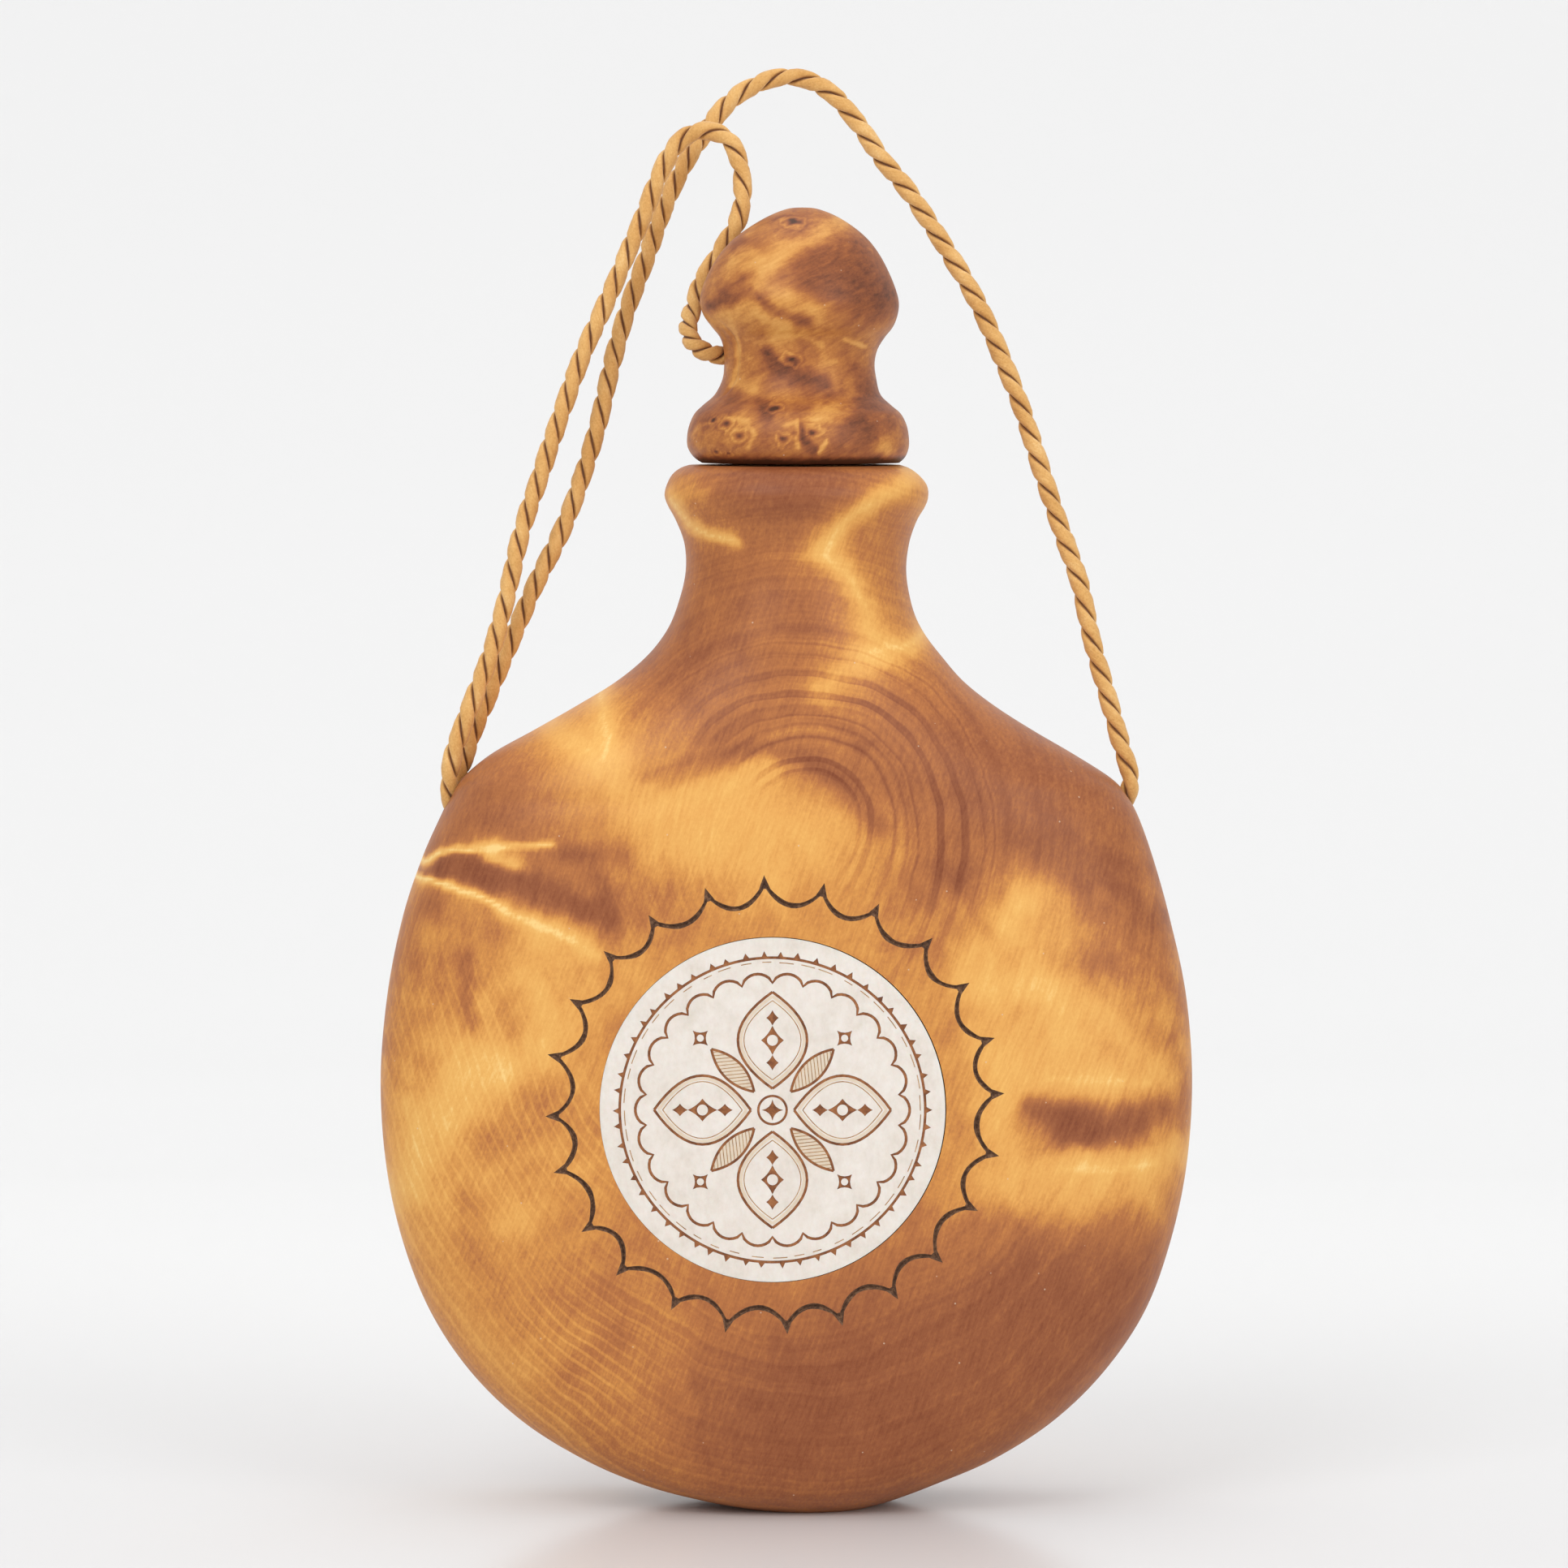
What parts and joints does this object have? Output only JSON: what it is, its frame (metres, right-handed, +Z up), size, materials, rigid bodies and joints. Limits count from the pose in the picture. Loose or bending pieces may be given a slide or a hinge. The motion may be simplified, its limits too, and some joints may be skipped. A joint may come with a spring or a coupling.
{
  "type": "flat wooden flask",
  "caption": "Flat curly-birch flask with a round neck, engraved antler disc inlay, turned wooden stopper on a cork and a leather carrying cord.",
  "frame": {"origin": "centre of the wooden flask's bounding box in plan, at the foot it stands on, cords left out", "axes": "+Z up through the neck and stopper; the inlaid front face looks along -Y; +X to the right of that face"},
  "size_m": [0.1374, 0.0528, 0.2443],
  "materials": {
    "curly_birch": "oiled satin",
    "antler": "polished, engraved",
    "plain_birch": "raw",
    "burl_birch": "oiled satin",
    "cork": "raw",
    "leather": "suede"
  },
  "bodies": {
    "flask": {"flask_body": "curly_birch", "closing_board": "plain_birch", "antler_medallion": "antler", "strap_cord": "leather", "strap_knot_left": "leather", "strap_knot_right": "leather", "tether_anchor_cord": "leather", "tether_knot_shoulder": "leather"},
    "stopper": {"stopper_head": "burl_birch", "stopper_cork": "cork", "cork_dowel": "plain_birch", "tether_cord": "leather", "tether_knot_stopper": "leather"}
  },
  "joints": [
    {"name": "stopper_lift", "type": "slide", "parent": "flask", "child": "stopper", "axis": [0, 0, 1], "range_m": [0, 0.028]}
  ]
}
